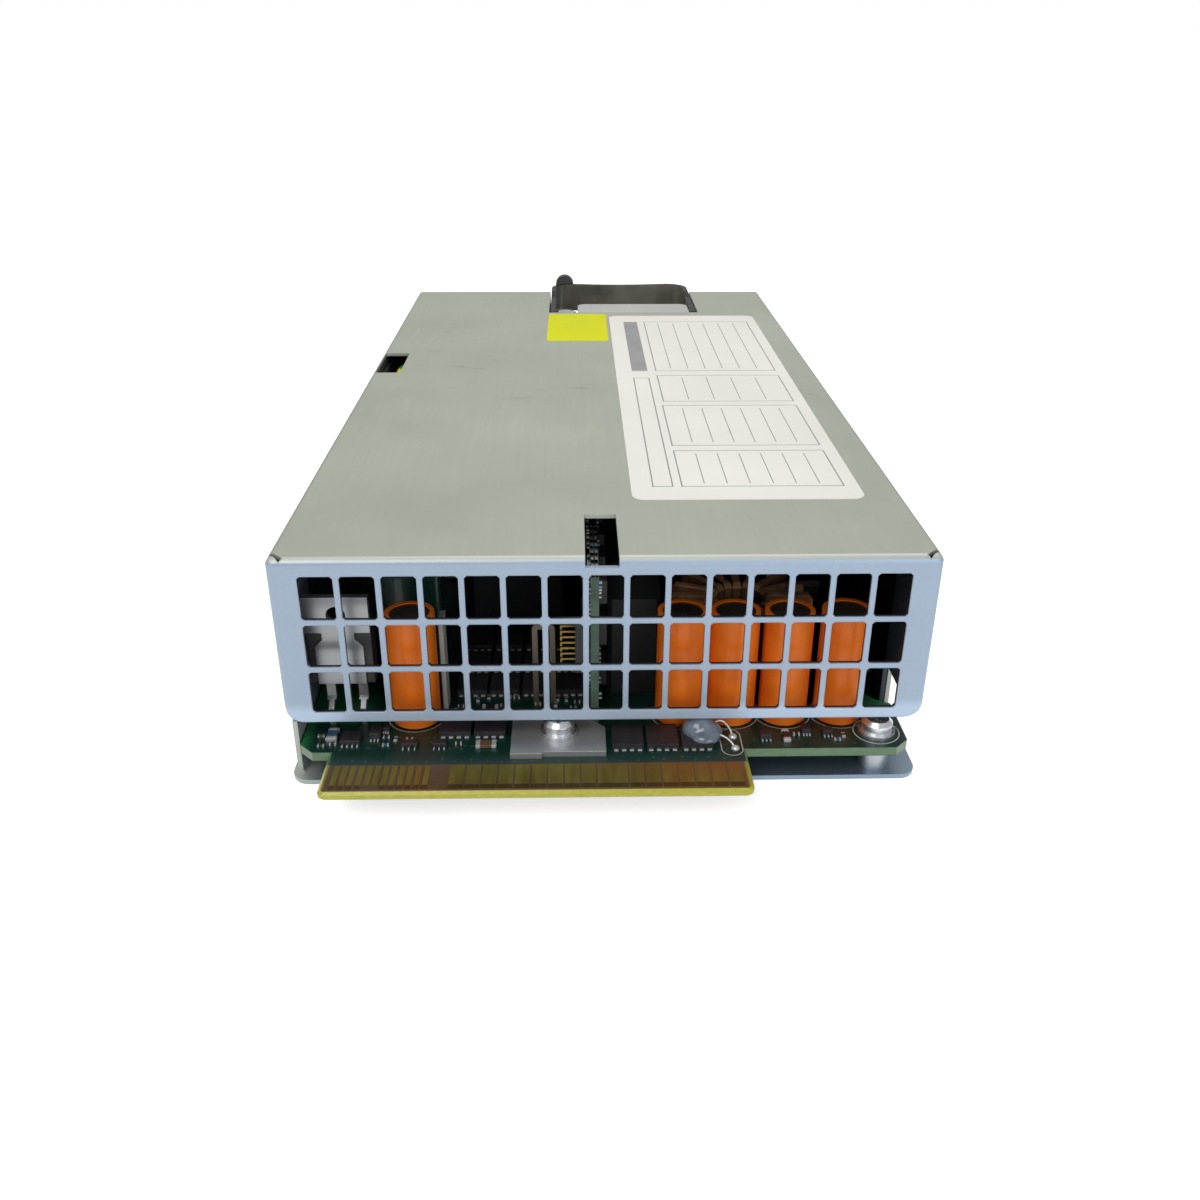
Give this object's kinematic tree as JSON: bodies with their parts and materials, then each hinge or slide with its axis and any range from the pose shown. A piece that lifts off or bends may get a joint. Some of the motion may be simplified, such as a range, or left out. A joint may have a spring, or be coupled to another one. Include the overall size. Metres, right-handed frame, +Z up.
{
  "type": "hot swap server power supply",
  "caption": "Low, long steel power supply module with a grille over its card edge, a sprung release latch, a pull strap, a fan and a mains inlet.",
  "frame": {"origin": "on the underside of the tray, at mid width, in the plane of the front grille", "axes": "+X to the right seen from the grille, +Y from the grille to the rear face with the handle, +Z up"},
  "size_m": [0.1034, 0.2197, 0.0415],
  "materials": {
    "galvanised_steel": "zinc plated, satin",
    "tray_steel": "zinc plated, satin",
    "handle_paint": "dark gloss",
    "latch_steel": "plain",
    "tab_plastic": "fine texture",
    "spring_steel": "drawn wire",
    "board_mask": "solder mask on glass laminate",
    "gold_contact": "gold plated",
    "nickel": "nickel plated",
    "capacitor_aluminium": "plain",
    "orange_sleeve": "heat-shrunk film",
    "tinned_metal": "tinned",
    "black_epoxy": "moulded",
    "ferrite": "sintered",
    "copper": "enamelled",
    "sealant": "cured silicone",
    "dark_sleeve": "heat-shrunk film",
    "yellow_tape": "polyester tape",
    "heatsink_aluminium": "extruded",
    "white_board": "pressed fibre",
    "green_film": "dipped",
    "yellow_box": "moulded",
    "fuse_glass": "clear",
    "insulator_film": "film",
    "black_plastic": "moulded",
    "light_lens": "diffused",
    "earth_insulation": "green and yellow"
  },
  "bodies": {
    "casing": {"front_grille": "galvanised_steel", "top_cover": "galvanised_steel", "base_tray": "tray_steel", "rear_panel": "galvanised_steel", "cover_screws": "nickel", "handle_well": "galvanised_steel", "handle": "handle_paint", "handle_bosses": "nickel", "handle_screws": "nickel", "latch_spring": "spring_steel", "main_board": "board_mask", "edge_contacts": "gold_contact", "board_standoffs": "nickel", "output_capacitor_cans": "capacitor_aluminium", "output_capacitor_sleeves": "orange_sleeve", "board_screws": "nickel", "ground_plate": "tinned_metal", "transistor_lead_frame": "tinned_metal", "transistor_body": "black_epoxy", "output_choke_core": "ferrite", "output_choke_winding": "copper", "daughter_board": "board_mask", "daughter_board_chips": "black_epoxy", "header_block": "black_plastic", "header_pins": "gold_contact", "film_capacitor": "green_film", "power_inductors": "ferrite", "barrier_strip": "white_board", "jumper_link": "tinned_metal", "output_mosfets": "black_epoxy", "board_chips": "black_epoxy", "sealant_blob": "sealant", "thermistor_leads": "tinned_metal", "bulk_capacitor_can": "capacitor_aluminium", "bulk_capacitor_sleeve": "dark_sleeve", "transformer_core": "ferrite", "transformer_winding": "yellow_tape", "bobbin_pins": "tinned_metal", "heatsink": "heatsink_aluminium", "line_choke_core": "ferrite", "line_choke_winding": "copper", "line_capacitor": "yellow_box", "relay": "black_plastic", "fuse_body": "fuse_glass", "fuse_caps": "nickel", "insulator_sheet": "insulator_film", "fan_frame": "black_plastic", "inlet_housing": "black_plastic", "inlet_pins": "nickel", "status_lights": "light_lens", "earth_eyelet": "tinned_metal", "earth_wire": "earth_insulation"},
    "fan_impeller": {"fan_rotor": "black_plastic", "fan_shaft": "nickel"},
    "latch": {"latch_slide": "latch_steel", "thumb_tab": "tab_plastic"}
  },
  "joints": [
    {"name": "fan_spin", "type": "hinge", "parent": "casing", "child": "fan_impeller", "pos_m": [-0.0309, 0.17, 0.019], "axis": [0, 1, 0], "continuous": true},
    {"name": "latch_release", "type": "slide", "parent": "casing", "child": "latch", "axis": [1, 0, 0], "range_m": [0, 0.0025], "stiffness_N_per_m": 600, "springref_m": -0.003, "deforming": ["latch_spring"]}
  ]
}
